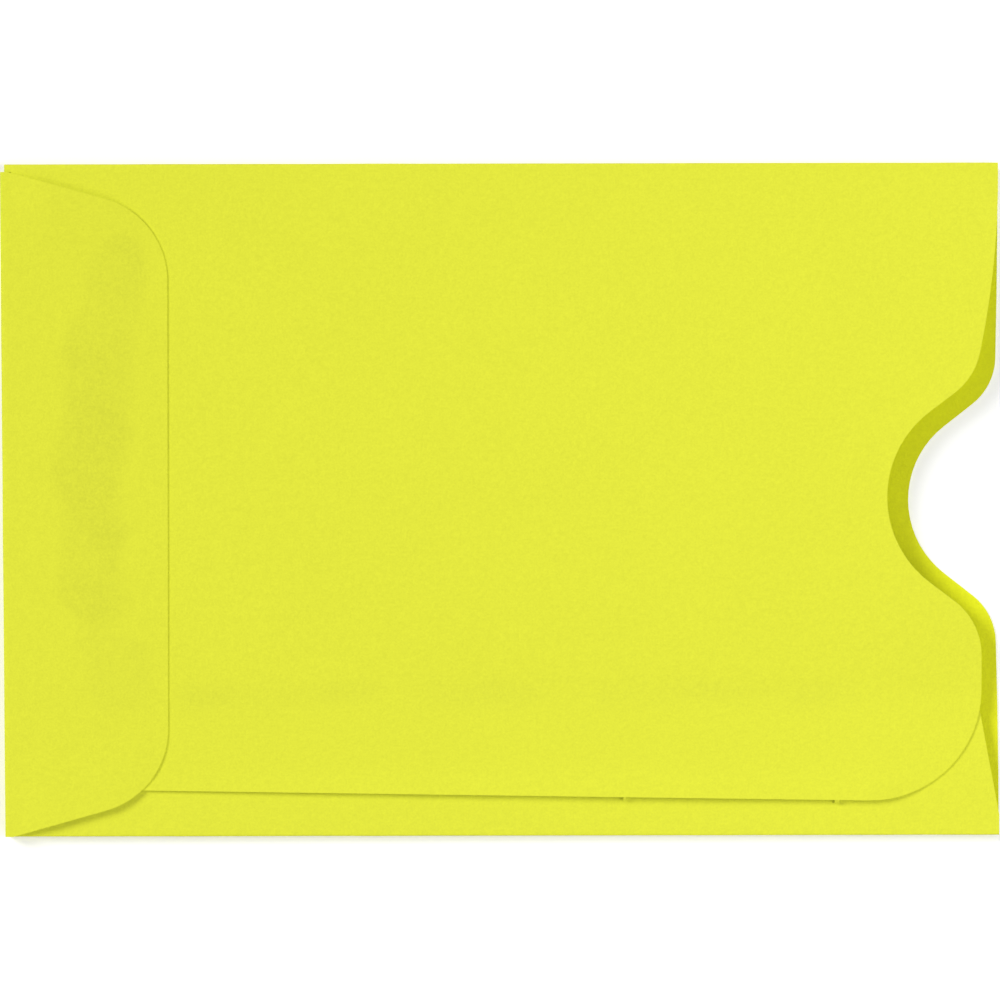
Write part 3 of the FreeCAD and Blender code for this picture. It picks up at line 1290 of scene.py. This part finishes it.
def build_floor():
    """White floor that keeps the sleeve's shadow."""
    shape = bmesh.new()
    bmesh.ops.create_grid(shape, x_segments=1, y_segments=1, size=FLOOR_REACH)
    for vertex in shape.verts:
        vertex.co.z = -FLOOR_DROP
    material, tree = new_material("white_floor")
    tree.nodes.remove(tree.nodes["Principled BSDF"])
    bounced = tree.nodes.new("ShaderNodeBsdfDiffuse")
    bounced.inputs["Color"].default_value = FLOOR_GREY
    lit = tree.nodes.new("ShaderNodeBsdfDiffuse")
    lit.inputs["Color"].default_value = WHITE
    glow = tree.nodes.new("ShaderNodeEmission")
    glow.inputs["Strength"].default_value = FLOOR_GLOW
    seen = tree.nodes.new("ShaderNodeAddShader")
    feed(tree, lit.outputs[0], seen.inputs[0])
    feed(tree, glow.outputs[0], seen.inputs[1])
    mix_by_ray(tree, bounced.outputs[0], seen.outputs[0], tree.nodes["Material Output"])
    mesh_object("floor", shape, [material])


def build_room(brightness):
    """Even light from the whole room, with a white backdrop behind the floor."""
    world = bpy.data.worlds.new("studio")
    world.use_nodes = True
    bpy.context.scene.world = world
    tree = world.node_tree
    room = tree.nodes["Background"]
    room.inputs["Color"].default_value = WHITE
    room.inputs["Strength"].default_value = brightness
    backdrop = tree.nodes.new("ShaderNodeBackground")
    backdrop.inputs["Color"].default_value = WHITE
    backdrop.inputs["Strength"].default_value = 1
    mix_by_ray(tree, room.outputs[0], backdrop.outputs[0], tree.nodes["World Output"])


def build_key():
    """Soft key light from the closed end and the back fold."""
    stage = stage_settings()
    lamp = bpy.data.lights.new("key", "SUN")
    lamp.angle = stage.key_softness
    lamp.energy = stage.key_share * math.pi / math.sin(stage.key_elevation)
    key = linked_object("key", lamp)
    level = math.cos(stage.key_elevation)
    towards = Vector((
        -level * math.sin(stage.key_bearing),
        level * math.cos(stage.key_bearing),
        math.sin(stage.key_elevation),
    ))
    key.rotation_euler = towards.to_track_quat("Z", "Y").to_euler()


def build_fill(name, share, place):
    """Square soft light that faces the sleeve and gives a share of the light on the table under it."""
    lamp = bpy.data.lights.new(name, "AREA")
    lamp.size = stage_settings().fill_size
    lamp.energy = share * math.pi ** 2 * place.length ** 3 / place.z
    fill = linked_object(name, lamp)
    fill.location = place
    fill.rotation_euler = place.to_track_quat("Z", "Y").to_euler()


def build_camera():
    """Camera straight above the sleeve, with the mouth to the right."""
    stage = stage_settings()
    lens = bpy.data.cameras.new("camera")
    lens.lens = stage.lens
    lens.clip_start = CLIP_START
    camera = linked_object("camera", lens)
    camera.location = (*stage.picture_centre, stage.picture_width * stage.lens / lens.sensor_width)
    camera.rotation_euler = (0, 0, -stage.camera_roll)
    bpy.context.scene.camera = camera


class SLEEVE_OT_stage(Operator):
    """Sets the white floor, the soft light and the camera straight above the sleeve"""

    bl_idname = "sleeve.stage"
    bl_label = "Stage"

    def execute(self, context):
        build_floor()
        stage = stage_settings()
        build_room(1 - stage.key_share - stage.fill_share - stage.low_share)
        build_key()
        build_fill("fill", stage.fill_share, Vector(stage.fill_place))
        build_fill("low_fill", stage.low_share, Vector(stage.low_place))
        build_camera()
        context.scene.view_settings.view_transform = "Standard"
        return {"FINISHED"}


class SLEEVE_PT_sidebar(Panel):
    """Lists the steps that build the sleeve"""

    bl_idname = "SLEEVE_PT_sidebar"
    bl_label = "Gift Card Sleeve"
    bl_space_type = "VIEW_3D"
    bl_region_type = "UI"
    bl_category = "Sleeve"

    def draw(self, context):
        for step in STEPS:
            self.layout.operator(step.bl_idname)


STEPS = (SLEEVE_OT_panels, SLEEVE_OT_flaps, SLEEVE_OT_creases, SLEEVE_OT_gum, SLEEVE_OT_stage)
CLASSES = (SleevePaperSettings, SleeveStageSettings, *STEPS, SLEEVE_PT_sidebar)


def register():
    for cls in CLASSES:
        bpy.utils.register_class(cls)
    bpy.types.Scene.sleeve_paper = PointerProperty(type=SleevePaperSettings)
    bpy.types.Scene.sleeve_stage = PointerProperty(type=SleeveStageSettings)


def unregister():
    del bpy.types.Scene.sleeve_stage
    del bpy.types.Scene.sleeve_paper
    for cls in reversed(CLASSES):
        bpy.utils.unregister_class(cls)


def main():
    register()
    bpy.ops.sleeve.panels()
    bpy.ops.sleeve.flaps()
    bpy.ops.sleeve.creases()
    bpy.ops.sleeve.gum()
    bpy.ops.sleeve.stage()


if __name__ == "__main__":
    main()
